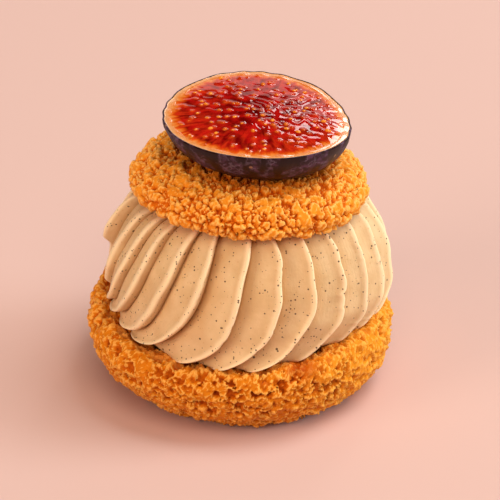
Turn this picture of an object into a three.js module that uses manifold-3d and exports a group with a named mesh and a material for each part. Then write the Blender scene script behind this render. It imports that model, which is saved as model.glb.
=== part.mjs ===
// A filled choux bun: a craquelin bun cut in two, a swirl of vanilla cream piped between
// the halves, and half a fig on top. Millimetres, +Z up. The origin is the centre of the
// bun's flat foot, and the front, where the cream dips lowest, faces -Y.
import * as THREE from "three";
import { mergeVertices } from "three/addons/utils/BufferGeometryUtils.js";
import Module from "manifold-3d";

// Driving dimensions
const GAP = 0.35; // between pieces that lie against each other

const BASE_RADIUS = 35.7; // widest part of the base, under its crags
const BASE_WAIST = 14.5; // height of that widest part
const FOOT_RADIUS = 25.5;
const FOOT_SHIFT = 1.5; // the foot stands a little to the right of the rim
const FOOT_TUCK = 0.8; // and is drawn in at the front
const RIM_HEIGHT = 18.9;
const RIM_THICKNESS = 3.4;
const RIM_MEAN_LIFT = 0.7;
const RIM_LIFT = 1.2; // how much higher the rim is at the back and lower at the front
const RIM_WARP = 0.65; // and how much higher again on both sides
const CUP_FLOOR = 9;

const CREAM_OFFSET = 2; // the swirl stands a little to the right of the base
const CREAM_RADIUS = 32.2; // between the furrows and the lips, at the widest level
const CREAM_NECK = 28.2; // radius of the swirl inside the cup
const LEFT_TUCK = 1.2; // how far the swirl draws in towards its foot, on the left
const RIGHT_TUCK = 2.8; // and at the front right
const TONGUE_DEPTH = 3.4; // from a furrow out to a lip
const LEAST_DEPTH = 3.8; // so deep are the furrows even by a low lip
const LIP_LEAN = 8; // degrees that a lip leans to the left on its way down, in three parts:
const LIP_SWEEP = 14; // an even lean, a sweep that grows towards the tip,
const LIP_HOOK = 16; // and the hook of the tip itself along the rim
// The lips in front, from left to right: degrees from the front where each leaves the lid,
// degrees that it bulges to the right half way down, its share of TONGUE_DEPTH, its share of
// the sweep and the hook and, for a tongue that ends above the rim, how far down its tip
// lies, from the lid (0) to the rim (1)
const FRONT_LIPS = [
  [-87, -1, 1.4, 1, 0.5],
  [-68, -2, 0.85, 1, 0.78],
  [-55, -2, 1, 1.2],
  [-44, -1, 1, 1.25],
  [-29, -2, 1, 1.15],
  [-17, 1.5, 1, 1.2],
  [2, -1.5, 0.9, 0.85],
  [15, 3, 0.85, 0.7],
  [30, 3, 0.85, 0.7],
  [45, 3, 0.85, 0.5],
  [63, -1.5, 0.8, 0.3],
  [77, -1, 0.8, 0.3],
];
const BACK_LIPS = 12;

const LID_OFFSET = 2.5;
const LID_RADIUS = 27.7;
const LID_BOTTOM = 48.3; // height of the lid's cut face on its axis
const LID_RISE = 10.6; // from the cut face to the top of the dome
const LID_ROLL = THREE.MathUtils.degToRad(2.8); // the right side sits lower
const LID_PITCH = THREE.MathUtils.degToRad(-1); // and the back a little lower than the front

const FIG_OFFSET = 0.7; // to the right of the lid's axis
const FIG_FORWARD = 1.85; // and towards the front
const FIG_RADIUS = 21.9;
const FIG_THICKNESS = 10;
const FIG_SLOPE = Math.tan(THREE.MathUtils.degToRad(2.6)); // the half is thicker at the back
const FIG_DROOP = 1; // how far the cut bends down at its right end,
const FIG_BEND = 14; // from here, right of the middle,
const FIG_BEND_REACH = 8; // over this length
const FIG_FOOT_RADIUS = 13.6;
const FIG_FOOT_SHIFT = 1.2; // the side that the half lies on is a little to the right of the cut
const FLESH_WIDTH = 2.1; // the pale ring between the skin and the pulp
const PULP_DEPTH = 5.4;
const FIG_SEGMENTS = 56;

const CRAG_HEIGHT = 1.25;
const SEED_COUNT = 38;
const SEED_LENGTH = 1.5;
const SEED_SHOW = 0.12; // a seed's middle above the pulp

const GOLDEN_ANGLE = Math.PI * (3 - Math.sqrt(5));

const wasm = await Module();
wasm.setup();

// A seeded random number generator, so that every build is the same.
function randomFrom(seed) {
  let state = seed;
  return () => {
    state = (Math.imul(state, 1664525) + 1013904223) >>> 0;
    return state / 4294967296;
  };
}

const point = (radius, height) => new THREE.Vector2(radius, height);

// Turns a profile of (radius, height) points about Z. Azimuth 0 is the front, and it runs
// to the right. shape(vertex) then moves each vertex, given as { azimuth, radius, height,
// row, normal }, where row counts the profile's points.
function turned(profile, segments, shape) {
  const geometry = new THREE.LatheGeometry(profile, segments);
  const position = geometry.getAttribute("position");
  const normal = geometry.getAttribute("normal");
  for (let i = 0; i < position.count; i++) {
    const segment = Math.floor(i / profile.length) % segments;
    const row = i % profile.length;
    const azimuth = (segment / segments) * 2 * Math.PI;
    const vertex = { azimuth, radius: profile[row].x, height: profile[row].y, row };
    vertex.normal = {
      radius: Math.hypot(normal.getX(i), normal.getZ(i)) * Math.sign(
        normal.getX(i) * Math.sin(azimuth) + normal.getZ(i) * Math.cos(azimuth),
      ),
      height: normal.getY(i),
    };
    shape(vertex);
    const { radius, height } = vertex;
    position.setXYZ(
      i,
      radius * Math.sin(vertex.azimuth),
      -radius * Math.cos(vertex.azimuth),
      height,
    );
  }
  return geometry;
}

// Vertices that coincide are joined, and the faces that this leaves without area go.
function closed(geometry) {
  const bare = new THREE.BufferGeometry();
  bare.setAttribute("position", geometry.getAttribute("position"));
  bare.setIndex(geometry.index);
  const merged = mergeVertices(bare, 1e-3);
  const index = merged.index.array;
  const kept = [];
  for (let i = 0; i < index.length; i += 3) {
    const [a, b, c] = index.slice(i, i + 3);
    if (a !== b && b !== c && c !== a) kept.push(a, b, c);
  }
  merged.setIndex(kept);
  return merged;
}

function solidOf(geometry) {
  const merged = closed(geometry);
  return new wasm.Manifold(
    new wasm.Mesh({
      numProp: 3,
      vertProperties: merged.getAttribute("position").array,
      triVerts: new Uint32Array(merged.index.array),
    }),
  );
}

function geometryOf(solid) {
  const mesh = solid.getMesh();
  const geometry = new THREE.BufferGeometry();
  geometry.setAttribute("position", new THREE.BufferAttribute(mesh.vertProperties, 3));
  geometry.setIndex(new THREE.BufferAttribute(mesh.triVerts, 1));
  return geometry;
}

function piece(name, geometry, colour, roughness) {
  const material = new THREE.MeshStandardMaterial({ color: colour, roughness, metalness: 0 });
  geometry.computeVertexNormals();
  const mesh = new THREE.Mesh(geometry, material);
  mesh.name = name;
  return mesh;
}

// Craquelin: crumbs of baked sugar dough, spread evenly over a turned crust on a golden
// spiral. The crust stands proud in the middle of a crumb and drops between two crumbs.
function crumbsOn(profile, spacing, seed) {
  const random = randomFrom(seed);
  const areas = [0];
  for (let i = 1; i < profile.length; i++) {
    const middle = (profile[i].x + profile[i - 1].x) / 2;
    areas.push(areas[i - 1] + 2 * Math.PI * middle * profile[i].distanceTo(profile[i - 1]));
  }
  const total = areas[areas.length - 1];
  const count = Math.round(total / spacing ** 2);
  return Array.from({ length: count }, (_, i) => {
    const area = (total * (i + 0.5)) / count;
    const row = Math.max(1, areas.findIndex((value) => value >= area));
    const share = (area - areas[row - 1]) / (areas[row] - areas[row - 1]);
    const at = profile[row - 1].clone().lerp(profile[row], share);
    const azimuth = i * GOLDEN_ANGLE + 0.5 * random() * (spacing / Math.max(at.x, spacing));
    return {
      place: new THREE.Vector3(at.x * Math.sin(azimuth), -at.x * Math.cos(azimuth), at.y),
      height: 0.35 + 0.65 * random(),
    };
  });
}

function cragAt(vertex, crumbs, spacing) {
  const place = new THREE.Vector3(
    vertex.radius * Math.sin(vertex.azimuth),
    -vertex.radius * Math.cos(vertex.azimuth),
    vertex.height,
  );
  let nearest = Infinity;
  let second = Infinity;
  let height = 0;
  for (const crumb of crumbs) {
    const distance = place.distanceTo(crumb.place);
    if (distance < nearest) {
      second = nearest;
      nearest = distance;
      height = crumb.height;
    } else if (distance < second) {
      second = distance;
    }
  }
  const inside = THREE.MathUtils.smoothstep(second - nearest, 0, 0.6 * spacing);
  return CRAG_HEIGHT * (height * inside + 0.25 * (1 - inside));
}

// Turns each row of a crust half a segment on from the row below it, which makes its
// triangles even.
const staggered = (row, segments) => (row * Math.PI) / segments;

function pushOut(vertex, distance) {
  vertex.radius += vertex.normal.radius * distance;
  vertex.height += vertex.normal.height * distance;
}

// The rim dips at the front left and stands higher at the back and on the right.
const rimLift = (azimuth) =>
  RIM_MEAN_LIFT - RIM_LIFT * Math.cos(azimuth) - RIM_WARP * Math.cos(2 * azimuth + 0.7);

// The base: the lower half of the bun, a bowl with a flat foot and a torn, uneven rim.
function chouxBase() {
  const wallSteps = 8;
  const wall = new THREE.SplineCurve([
    point(FOOT_RADIUS, 0),
    point(FOOT_RADIUS + 4.9, 3.2),
    point(BASE_RADIUS - 1.5, 8.4),
    point(BASE_RADIUS, BASE_WAIST),
    point(BASE_RADIUS - 0.7, RIM_HEIGHT - 1.2),
  ]).getPoints(wallSteps);
  const rimMiddle = BASE_RADIUS - 0.8 - RIM_THICKNESS / 2;
  const rim = [
    point(rimMiddle + 0.9, RIM_HEIGHT - 0.1),
    point(rimMiddle - 0.9, RIM_HEIGHT - 0.2),
  ];
  const inside = [
    point(rimMiddle - RIM_THICKNESS / 2, RIM_HEIGHT - 1.6),
    point(rimMiddle - RIM_THICKNESS / 2 - 1.5, (RIM_HEIGHT + CUP_FLOOR) / 2),
    point(rimMiddle - RIM_THICKNESS / 2 - 4.5, CUP_FLOOR),
    point(0, CUP_FLOOR),
  ];
  const profile = [point(0, 0), ...wall, ...rim, ...inside];
  const spacing = 4.6;
  const crust = [...wall, ...rim];
  const crumbs = crumbsOn(crust, spacing, 11);
  const firstCrag = 2; // the rows from here up to the inner edge of the rim are crust
  const lastCrag = crust.length;
  const segments = 104;
  return turned(profile, segments, (vertex) => {
    vertex.azimuth += staggered(vertex.row, segments);
    const { azimuth, height, row } = vertex;
    if (row >= firstCrag && row <= lastCrag) pushOut(vertex, cragAt(vertex, crumbs, spacing));
    const uneven = 1 + 0.008 * Math.sin(2 * azimuth + 0.6) + 0.006 * Math.sin(5 * azimuth);
    vertex.radius *= uneven;
    const low = 1 - THREE.MathUtils.smoothstep(height, 0, BASE_WAIST);
    const footOut = FOOT_SHIFT * Math.sin(azimuth) - FOOT_TUCK * Math.max(0, Math.cos(azimuth));
    if (row > 0 && row <= lastCrag) vertex.radius += footOut * low;
    vertex.height += rimLift(azimuth) * THREE.MathUtils.smoothstep(height, CUP_FLOOR, RIM_HEIGHT);
  });
}

// Height of the tilted lid's cut face, in the part's frame, above a place (x, y).
const underLid = (x, y) =>
  LID_BOTTOM - Math.tan(LID_ROLL) * (x - LID_OFFSET) + Math.tan(LID_PITCH) * y;

// All lips of the swirl, once round from the first one in front to the same one again. Those
// at the back are spread over the rest of the round, and sweep less on the right.
function creamLips() {
  const { degToRad } = THREE.MathUtils;
  const lips = FRONT_LIPS.map(([top, bulge, depth, sweep, tip = Infinity]) => ({
    top: degToRad(top),
    bulge: degToRad(bulge),
    depth,
    sweep,
    tip,
  }));
  const first = lips[0];
  const last = lips[lips.length - 1];
  const step = (2 * Math.PI - (last.top - first.top)) / (BACK_LIPS + 1);
  const random = randomFrom(8);
  for (let i = 1; i <= BACK_LIPS; i++) {
    const top = last.top + step * (i + 0.4 * (random() - 0.5));
    lips.push({
      top,
      bulge: degToRad(5 * random() - 2),
      depth: 0.9 + 0.2 * random(),
      sweep: 1 - 0.7 * THREE.MathUtils.smoothstep(Math.sin(top), -0.5, 0.5),
      tip: Infinity,
    });
  }
  lips.push({ ...first, top: first.top + 2 * Math.PI });
  return lips;
}

// Azimuth of a lip, from where it leaves the lid (down is 0) to its tip (down is 1).
function lipAzimuth(lip, down) {
  const lean = LIP_LEAN * down + lip.sweep * (LIP_SWEEP * down ** 3 + LIP_HOOK * down ** 9);
  return lip.top + lip.bulge * Math.sin(Math.PI * down) - THREE.MathUtils.degToRad(lean);
}

// A lip's share of TONGUE_DEPTH on its way down. Most of it is gone below a short tongue's tip.
function lipDepth(lip, down) {
  const past = THREE.MathUtils.smoothstep(down, lip.tip - 0.06, lip.tip + 0.04);
  return lip.depth * (1 - 0.6 * past);
}

// The tongues on the left side stand out of their furrows all over, and those on the right
// rise to their lips like shingles.
const bulkShare = (lip) => THREE.MathUtils.smoothstep(-Math.sin(lip.top), 0, 0.75);

// The cream: one ring of tongues laid over each other by a star nozzle. Each rises from the
// furrow on its left to a lip on its right, leans to the left on its way down, and ends in a
// tip that sweeps along the rim of the base.
function creamSwirl() {
  const rim = RIM_HEIGHT + CRAG_HEIGHT + GAP; // as low as the tongues hang over the base
  const neck = [
    point(0, CUP_FLOOR + GAP),
    point(CREAM_NECK - 4.5, CUP_FLOOR + GAP),
    point(CREAM_NECK, rim - 3.4),
    point(CREAM_NECK + 1, rim),
  ];
  const side = new THREE.SplineCurve([
    point(CREAM_RADIUS - 1.4, rim + 0.2),
    point(CREAM_RADIUS - 0.4, rim + 2),
    point(CREAM_RADIUS, rim + 4.6),
    point(CREAM_RADIUS, rim + 8.5),
    point(CREAM_RADIUS - 1.1, rim + 14.8),
    point(CREAM_RADIUS - 3.6, rim + 21),
    point(CREAM_RADIUS - 7.4, rim + 26.2),
    point(CREAM_RADIUS - 13, rim + 28.6),
  ]).getPoints(13);
  const profile = [...neck, ...side, point(0, rim + 29)];
  // A tongue's section, from its furrow to its lip: share of its width, and its share of the
  // depth there as a shingle and as a bulky tongue
  const section = [
    [0, 0, 0],
    [0.15, 0.28, 0.48],
    [0.5, 0.48, 0.64],
    [0.78, 0.72, 0.82],
    [0.92, 1, 1],
    [0.99, 0.6, 0.6],
  ];
  const middle = 0.3; // the share of a lip's depth that lies inside the profile
  const lips = creamLips();
  const segments = (lips.length - 1) * section.length;
  return turned(profile, segments, (vertex) => {
    const { height, row } = vertex;
    const column = Math.round((vertex.azimuth / (2 * Math.PI)) * segments);
    const tongue = Math.floor(column / section.length);
    const [across, shingle, bulky] = section[column % section.length];
    const lip = lips[tongue + 1];
    const rise = THREE.MathUtils.lerp(shingle, bulky, bulkShare(lip));
    const down = THREE.MathUtils.clamp((LID_BOTTOM - height) / (LID_BOTTOM - rim), 0, 1);
    const furrow = lipAzimuth(lips[tongue], down);
    const azimuth = furrow + across * (lipAzimuth(lip, down) - furrow);
    const along = (row - neck.length + 1) / side.length; // 0 on the rim, 1 at the top
    if (along > 0 && along <= 1) {
      const swell = 0.75 + 0.25 * THREE.MathUtils.smoothstep(along, 0, 0.3);
      const lipOut = TONGUE_DEPTH * lipDepth(lip, down) * swell;
      const depth = Math.max(lipOut, LEAST_DEPTH * swell);
      vertex.radius += (1 - middle) * lipOut - depth * (1 - rise);
    }
    const low = 1 - THREE.MathUtils.smoothstep(height, rim, rim + 10);
    const toRight = Math.sin(azimuth);
    const frontRight = 2 * Math.max(0, toRight) * Math.max(0, Math.cos(azimuth));
    const tuck = RIGHT_TUCK * frontRight + LEFT_TUCK * Math.max(0, -toRight);
    if (row > 0) vertex.radius -= tuck * low;
    if (height > CUP_FLOOR + GAP) vertex.height += rimLift(azimuth) * low;
    vertex.azimuth = azimuth;
    const x = CREAM_OFFSET + vertex.radius * Math.sin(azimuth);
    const y = -vertex.radius * Math.cos(azimuth);
    vertex.height = Math.min(vertex.height, underLid(x, y) - GAP);
  });
}

// The lid: the cut-off top of the bun, domed and covered in craquelin. Its top is pressed
// flat where the fig lies.
function chouxLid() {
  const dome = new THREE.SplineCurve([
    point(LID_RADIUS - 4, 0),
    point(LID_RADIUS - 1.7, 0.7),
    point(LID_RADIUS - 0.4, 2.4),
    point(LID_RADIUS - 1.5, 6),
    point(LID_RADIUS - 6.4, 8.9),
    point(LID_RADIUS - 13, LID_RISE - 0.4),
    point(LID_RADIUS - 20, LID_RISE),
  ]).getPoints(12);
  const profile = [point(0, 0), ...dome, point(0, LID_RISE)];
  const spacing = 4.2;
  const crumbs = crumbsOn(dome, spacing, 5);
  const segments = 92;
  return turned(profile, segments, (vertex) => {
    vertex.azimuth += staggered(vertex.row, segments);
    const { azimuth, row } = vertex;
    if (row > 1 && row <= dome.length) pushOut(vertex, cragAt(vertex, crumbs, spacing));
    vertex.radius *= 1 + 0.01 * Math.sin(2 * azimuth - 1.2) + 0.01 * Math.sin(3 * azimuth);
    const x = vertex.radius * Math.sin(vertex.azimuth) - FIG_OFFSET;
    const y = -vertex.radius * Math.cos(vertex.azimuth) + FIG_FORWARD;
    const underFig = 1 - THREE.MathUtils.smoothstep(Math.hypot(x, y), FIG_RADIUS - 1, FIG_RADIUS + 2);
    const seat = LID_RISE - GAP + 2.5 * (1 - underFig);
    vertex.height = THREE.MathUtils.clamp(vertex.height, 0, seat);
  });
}

// The fig's cut: nearly round, with blunt corners to the front left, the front right and the
// back. The cut isn't quite level with the side that the half lies on, and bends down at its
// right end.
function shapeFig(vertex) {
  const { azimuth } = vertex;
  const oval = 0.012 * Math.cos(2 * azimuth) + 0.005 * Math.sin(2 * azimuth);
  vertex.radius *= 1.006 + oval - 0.03 * Math.cos(3 * azimuth);
  const x = vertex.radius * Math.sin(azimuth);
  const y = -vertex.radius * Math.cos(azimuth);
  const droop = FIG_DROOP * Math.max(0, (x - FIG_BEND) / FIG_BEND_REACH) ** 2;
  vertex.height *= 1 + (FIG_SLOPE * y - droop) / FIG_THICKNESS;
}

// The fig's flesh in its skin: a shallow bowl with a pale rim round the pulp.
function figFlesh() {
  const skin = new THREE.SplineCurve([
    point(FIG_FOOT_RADIUS, 0),
    point(FIG_RADIUS - 4.4, 2.4),
    point(FIG_RADIUS - 1.9, 5.1),
    point(FIG_RADIUS - 0.4, 8),
    point(FIG_RADIUS, FIG_THICKNESS),
  ]).getPoints(6);
  const pulp = FIG_RADIUS - FLESH_WIDTH;
  const hollow = [
    point(pulp, FIG_THICKNESS),
    point(pulp - 1.6, FIG_THICKNESS - 2.6),
    point(pulp - 5, FIG_THICKNESS - PULP_DEPTH),
    point(0, FIG_THICKNESS - PULP_DEPTH),
  ];
  return turned([point(0, 0), ...skin, ...hollow], FIG_SEGMENTS, (vertex) => {
    const { azimuth, height, row } = vertex;
    const low = 1 - THREE.MathUtils.smoothstep(height, 0, FIG_THICKNESS);
    if (row > 0 && row <= skin.length) vertex.radius += FIG_FOOT_SHIFT * low * Math.sin(azimuth);
    shapeFig(vertex);
  });
}

// The pulp: the seeded heart of the fig, a shallow cushion in the bowl of flesh.
function figPulp() {
  const edge = FIG_RADIUS - FLESH_WIDTH - 1.5 * GAP;
  const floor = FIG_THICKNESS - PULP_DEPTH + GAP;
  const crown = (radius) => FIG_THICKNESS + 0.2 + 0.5 * (1 - (radius / edge) ** 2);
  const rings = [edge, 0.75 * edge, 0.4 * edge, 0];
  const profile = [
    point(0, floor),
    point(edge - 5, floor),
    point(edge - 1.6, FIG_THICKNESS - 2.6),
    ...rings.map((radius) => point(radius, crown(radius))),
  ];
  let solid = solidOf(turned(profile, FIG_SEGMENTS, shapeFig));
  const random = randomFrom(23);
  for (let i = 0; i < SEED_COUNT; i++) {
    const radius = (edge - 2.2) * Math.sqrt((i + 0.6) / SEED_COUNT);
    const azimuth = i * GOLDEN_ANGLE + 0.3 * random();
    const seed = new THREE.SphereGeometry(SEED_LENGTH / 2, 5, 4);
    seed.scale(0.75 + 0.25 * random(), 1, 0.7);
    seed.rotateZ(azimuth + 0.8 * (random() - 0.5));
    const place = { azimuth, radius, height: crown(radius) };
    shapeFig(place);
    seed.translate(
      place.radius * Math.sin(azimuth),
      -place.radius * Math.cos(azimuth),
      place.height + SEED_SHOW,
    );
    solid = solid.add(solidOf(seed));
  }
  return geometryOf(solid);
}

const bun = new THREE.Group();
bun.add(piece("choux_base", closed(chouxBase()), 0xd27a22, 0.75));

const cream = piece("cream_swirl", closed(creamSwirl()), 0xdfae78, 0.5);
cream.position.x = CREAM_OFFSET;
bun.add(cream);

const top = new THREE.Group();
top.position.set(LID_OFFSET, 0, LID_BOTTOM);
top.rotation.set(LID_PITCH, LID_ROLL, 0);
top.add(piece("choux_lid", closed(chouxLid()), 0xdc8a2c, 0.75));
bun.add(top);

const fig = new THREE.Group();
fig.position.set(FIG_OFFSET, -FIG_FORWARD, LID_RISE);
fig.add(piece("fig_flesh", closed(figFlesh()), 0x45242c, 0.4));
fig.add(piece("fig_pulp", figPulp(), 0xa8221a, 0.15));
top.add(fig);

export default bun;
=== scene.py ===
import math
import random

import bmesh
import bpy
import numpy as np
from mathutils import Matrix, Vector, noise


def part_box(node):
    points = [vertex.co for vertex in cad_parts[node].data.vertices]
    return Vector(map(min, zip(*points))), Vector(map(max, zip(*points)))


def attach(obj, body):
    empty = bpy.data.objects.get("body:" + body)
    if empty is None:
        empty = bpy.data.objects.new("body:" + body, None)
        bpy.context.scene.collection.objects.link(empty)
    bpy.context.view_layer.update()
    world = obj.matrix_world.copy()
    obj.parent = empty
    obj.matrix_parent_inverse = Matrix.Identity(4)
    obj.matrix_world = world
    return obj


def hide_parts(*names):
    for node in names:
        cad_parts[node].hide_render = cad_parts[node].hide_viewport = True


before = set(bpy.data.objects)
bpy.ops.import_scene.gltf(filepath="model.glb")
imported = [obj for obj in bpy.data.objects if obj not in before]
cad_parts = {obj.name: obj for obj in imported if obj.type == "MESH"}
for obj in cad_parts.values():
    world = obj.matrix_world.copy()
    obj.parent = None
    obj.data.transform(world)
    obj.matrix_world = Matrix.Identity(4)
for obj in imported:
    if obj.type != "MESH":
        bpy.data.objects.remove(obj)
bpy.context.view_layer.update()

# The base is the lower half of the bun: a bowl of baked choux under a crust of craquelin,
# sugar dough that burst into crumbs in the oven. It was cut open along its rim, and it
# stands on its flat foot.
mm = 0.001
base_low, base_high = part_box("choux_base")
base_crumb = 1.25 * mm  # how far the crumbs stand out of the dough
base_radius = (base_high.x - base_low.x) / 2 - 0.6 * base_crumb
foot_radius = 25.5 * mm
foot_shift = 1.5 * mm  # the foot stands a little to the right of the rim
foot_tuck = 0.8 * mm  # and is drawn in at the front
foot_reach = 14.5 * mm  # so high up the wall follows the foot
rim_height = 19 * mm
rim_mean_lift = 0.7 * mm
rim_lift = 1.2 * mm  # how much higher the rim is at the back and lower at the front
rim_warp = 0.65 * mm  # and how much higher again on both sides
rim_fray = 0.7 * mm  # how far its torn edge goes up and down
fray_size = 2.4 * mm
cup_radius = 31.6 * mm
cup_floor = 9 * mm
cup_lean = 1.6 * mm  # how far the torn inside of the wall leans to the right
pit_size = 2.7 * mm
crumb_size = 1.5 * mm
grit_size = 0.8 * mm
lump_size = 4 * mm
noise.seed_set(2)  # vector noise starts from the clock if it has no seed


def smoothstep(value, low, high):
    """0 below low and 1 above high, with a soft step from one to the other."""
    share = min(1, max(0, (value - low) / (high - low)))
    return share * share * (3 - 2 * share)


def azimuth_of(place):
    """The angle of a place about the bun's axis: 0 at the front, growing to the right."""
    return math.atan2(place.x, -place.y)


def through(points, steps):
    """A smooth curve through a few points, in steps places for each stretch between two."""
    ends = [points[0], *points, points[-1]]
    places = []
    for before, start, end, after in zip(ends, ends[1:], ends[2:], ends[3:]):
        for step in range(steps):
            t = step / steps
            places.append(tuple(
                b + 0.5 * t * (c - a + t * (2 * a - 5 * b + 4 * c - d + t * (3 * (b - c) + d - a)))
                for a, b, c, d in zip(before, start, end, after)
            ))
    return places + [tuple(points[-1])]


def spun(profile, steps):
    """A closed shape turned about Z from (radius, height) points that start and end on it."""
    shape = bmesh.new()
    line = [shape.verts.new((0, -radius, height)) for radius, height in profile]
    edges = [shape.edges.new(pair) for pair in zip(line, line[1:])]
    bmesh.ops.spin(
        shape, geom=line + edges, cent=(0, 0, 0), axis=(0, 0, 1),
        angle=2 * math.pi, steps=steps, use_merge=True,
    )
    bmesh.ops.remove_doubles(shape, verts=shape.verts, dist=0.001 * mm)
    bmesh.ops.recalc_face_normals(shape, faces=shape.faces)
    return shape


def along(points, spacing):
    """A smooth curve through a few points, in places about the spacing apart."""
    fine = through(points, 60)
    places = fine[:1]
    for place in fine:
        if math.dist(place, places[-1]) >= spacing:
            places.append(place)
    return places


def crumb_at(place, size, ragged, seed):
    """The crumb of sugar crust at a place, in crumbs of the size given: how far inside its
    ragged border the place lies, the crumb's own luck from 0 to 1, and how its top leans."""
    spot = place / size + Vector((seed, seed, seed))
    spot += ragged * (0.24 * noise.noise_vector(2.1 * spot) + 0.16 * noise.noise_vector(5 * spot))
    distances, middles = noise.voronoi(spot)
    luck = 0.5 + 0.5 * noise.cell(9 * middles[0])
    lean = (spot - middles[0]).dot(noise.cell_vector(7 * middles[0]))
    return distances[1] - distances[0], luck, lean


def raise_crust(shape, crust_at):
    """Moves each vertex out by the crust's height at its place, and stores its cover."""
    shape.normal_update()
    cover_layer = shape.verts.layers.float.new("cover")
    moves = []
    for vertex in shape.verts:
        height, vertex[cover_layer] = crust_at(vertex.co)
        moves.append(vertex.normal * height)
    for vertex, move in zip(shape.verts, moves):
        vertex.co += move


def linked(name, shape):
    """Makes a finished bmesh an object of the scene."""
    data = bpy.data.meshes.new(name)
    shape.to_mesh(data)
    shape.free()
    piece = bpy.data.objects.new(name, data)
    bpy.context.scene.collection.objects.link(piece)
    return piece


def rows_of(items, name, width, kind):
    """One value of each item of a mesh, as the rows of an array."""
    values = np.empty(width * len(items), kind)
    items.foreach_get(name, values)
    return values.reshape(-1, width)


def mark_crags(piece, **reaches):
    """Stores how far each vertex stands out of the crust as smoothed by a number of passes,
    in millimetres, as an attribute for each name and number given."""
    data = piece.data
    places = rows_of(data.vertices, "co", 3, np.float32)
    normals = rows_of(data.vertex_normals, "vector", 3, np.float32)
    ends = rows_of(data.edges, "vertices", 2, np.int32)
    count = len(places)
    start = np.concatenate([ends[:, 0], ends[:, 1]])
    end = np.concatenate([ends[:, 1], ends[:, 0]])
    degree = np.maximum(np.bincount(start, minlength=count), 1)
    for name, passes in reaches.items():
        smooth = places.astype(float)
        for _ in range(passes):
            smooth = np.stack(
                [np.bincount(start, smooth[end, axis], count) / degree for axis in range(3)], axis=1
            )
        crag = ((places - smooth) * normals).sum(axis=1) / mm
        attribute = data.attributes.new(name, "FLOAT", "POINT")
        attribute.data.foreach_set("value", crag.astype(np.float32))


class Wire:
    """A socket of a material's nodes. Arithmetic on wires adds Math nodes."""

    def __init__(self, tree, socket=None):
        self.tree = tree
        self.socket = socket

    def node(self, kind, settings=None, sockets=None, output=0):
        """Adds a node: first its settings, then the values or wires of its sockets."""
        made = self.tree.nodes.new(kind)
        for name, value in (settings or {}).items():
            setattr(made, name, value)
        for name, value in (sockets or {}).items():
            if isinstance(value, Wire):
                self.tree.links.new(value.socket, made.inputs[name])
            else:
                made.inputs[name].default_value = value
        return Wire(self.tree, made.outputs[output])

    def math(self, operation, *values):
        """Adds a Math node on wires or numbers."""
        return self.node("ShaderNodeMath", {"operation": operation}, dict(enumerate(values)))

    def __add__(self, other):
        return self.math("ADD", self, other)

    def __sub__(self, other):
        return self.math("SUBTRACT", self, other)

    def __rsub__(self, other):
        return self.math("SUBTRACT", other, self)

    def __mul__(self, other):
        return self.math("MULTIPLY", self, other)

    __radd__ = __add__
    __rmul__ = __mul__

    def __abs__(self):
        return self.math("ABSOLUTE", self)

    def between(self, low, high):
        """0 below low and 1 above high, with a soft step from one to the other."""
        limits = {"Value": self, "From Min": low, "From Max": high}
        return self.node("ShaderNodeMapRange", {"interpolation_type": "SMOOTHSTEP"}, limits)

    def channel(self, index):
        """One channel of a colour."""
        return self.node("ShaderNodeSeparateColor", None, {"Color": self}, index)

    def blend(self, start, end):
        """The colour start where this wire is 0, and end where it is 1."""
        return self.node("ShaderNodeMix", {"data_type": "RGBA"}, {0: self, 6: start, 7: end}, 2)


class Finish:
    """A material of one Principled shader. Its keywords are the shader's constant values."""

    def __init__(self, name, **constants):
        self.material = bpy.data.materials.new(name)
        self.material.use_nodes = True
        self.tree = self.material.node_tree
        self.shader = self.tree.nodes["Principled BSDF"]
        for socket, value in constants.items():
            self.shader.inputs[socket.replace("_", " ")].default_value = value
        self.start = Wire(self.tree)
        self.place = self.start.node("ShaderNodeTexCoord", output="Object")

    def attribute(self, name, output="Fac"):
        """A value that the mesh stores at each vertex."""
        return self.start.node("ShaderNodeAttribute", {"attribute_name": name}, output=output)

    def axis(self, index):
        """How far along X (0), Y (1) or Z (2) a place lies."""
        return self.start.node("ShaderNodeSeparateXYZ", None, {"Vector": self.place}, index)

    def grain(self, size, detail=2, place=None):
        """Noise from 0 to 1, in lumps of about the size given."""
        sockets = {"Vector": place or self.place, "Scale": 1 / size, "Detail": detail}
        return self.start.node("ShaderNodeTexNoise", None, sockets, "Fac")

    def cells(self, size, output="Distance"):
        """Voronoi cells of about the size given: the distance to a cell's middle, or its colour."""
        sockets = {"Vector": self.place, "Scale": 1 / size}
        return self.start.node("ShaderNodeTexVoronoi", None, sockets, output)

    def set(self, **wires):
        """Feeds the shader's varying values."""
        for socket, wire in wires.items():
            self.tree.links.new(wire.socket, self.shader.inputs[socket.replace("_", " ")])

    def bump(self, height, depth):
        """Raises the surface by height, from 0 to 1, times depth."""
        sockets = {"Height": height, "Distance": depth}
        self.set(Normal=self.start.node("ShaderNodeBump", None, sockets))


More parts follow.
